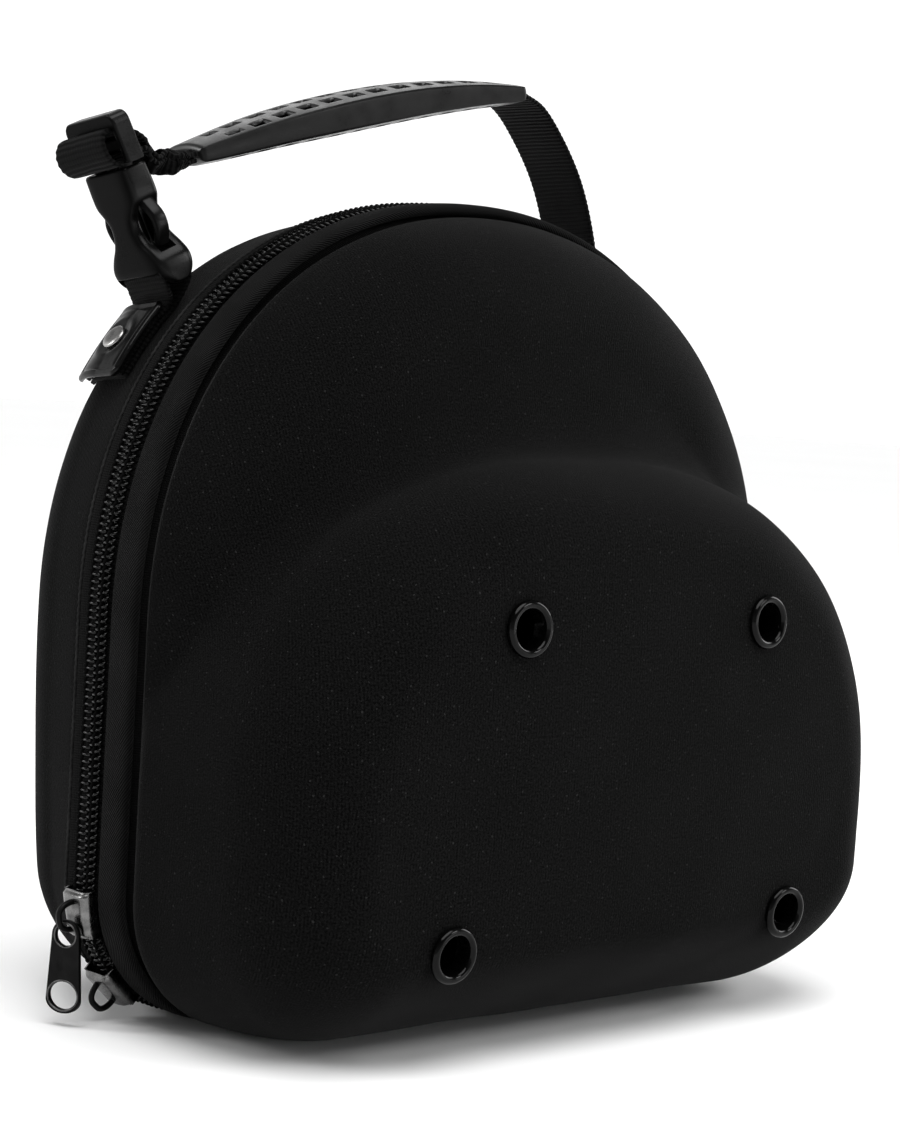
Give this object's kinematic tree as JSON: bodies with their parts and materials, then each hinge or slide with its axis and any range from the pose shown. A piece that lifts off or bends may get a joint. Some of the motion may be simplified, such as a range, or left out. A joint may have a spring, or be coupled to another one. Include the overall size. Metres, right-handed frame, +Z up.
{
  "type": "cap carrier",
  "caption": "Semi-rigid domed cap carrier: moulded cloth shells closed by a zip, with vent eyelets on a bulged face and a rubber-gripped strap handle on a side-release buckle.",
  "frame": {"origin": "middle of the flat base, under the zip", "axes": "+Z up, +X to the right seen from the front, the bulged front faces -Y"},
  "size_m": [0.2331, 0.149, 0.2603],
  "materials": {
    "shell_cloth": "matte knitted cloth over moulded foam",
    "binding_knit": "matte herringbone knit",
    "tape_cloth": "matte woven tape",
    "coil_nylon": "glossy nylon teeth",
    "eyelet_enamel": "gloss black enamel",
    "slider_metal": "bright gunmetal plate",
    "pull_metal": "satin dark grey",
    "webbing": "ribbed woven webbing",
    "grip_rubber": "matte dark grey rubber",
    "buckle_plastic": "satin moulded plastic",
    "patch_gloss": "patent gloss with stitched edge",
    "rivet_metal": "satin nickel"
  },
  "bodies": {
    "case": {"front_shell": "shell_cloth", "back_shell": "shell_cloth", "eyelet_upper_left": "eyelet_enamel", "eyelet_upper_right": "eyelet_enamel", "eyelet_lower_left": "eyelet_enamel", "eyelet_lower_right": "eyelet_enamel", "binding": "binding_knit", "zip_tape_front": "tape_cloth", "zip_tape_back": "tape_cloth", "zip_coil_front": "coil_nylon", "zip_coil_back": "coil_nylon", "base_hinge": "binding_knit", "tab_webbing": "webbing", "tab_patch": "patch_gloss", "tab_rivet": "rivet_metal", "buckle_socket": "buckle_plastic", "buckle_plug": "buckle_plastic", "strap_left": "webbing", "grip": "grip_rubber", "strap_right": "webbing", "patch_right": "patch_gloss", "rivet_right": "rivet_metal", "slider_upper": "slider_metal", "slider_lower": "slider_metal"},
    "pull": {"pull": "pull_metal"}
  },
  "joints": [
    {"name": "pull_swing", "type": "hinge", "parent": "case", "child": "pull", "pos_m": [-0.11643, 0, 0.02755], "axis": [-0.4226, 0.9063, 0], "range_deg": [0, 150]}
  ]
}
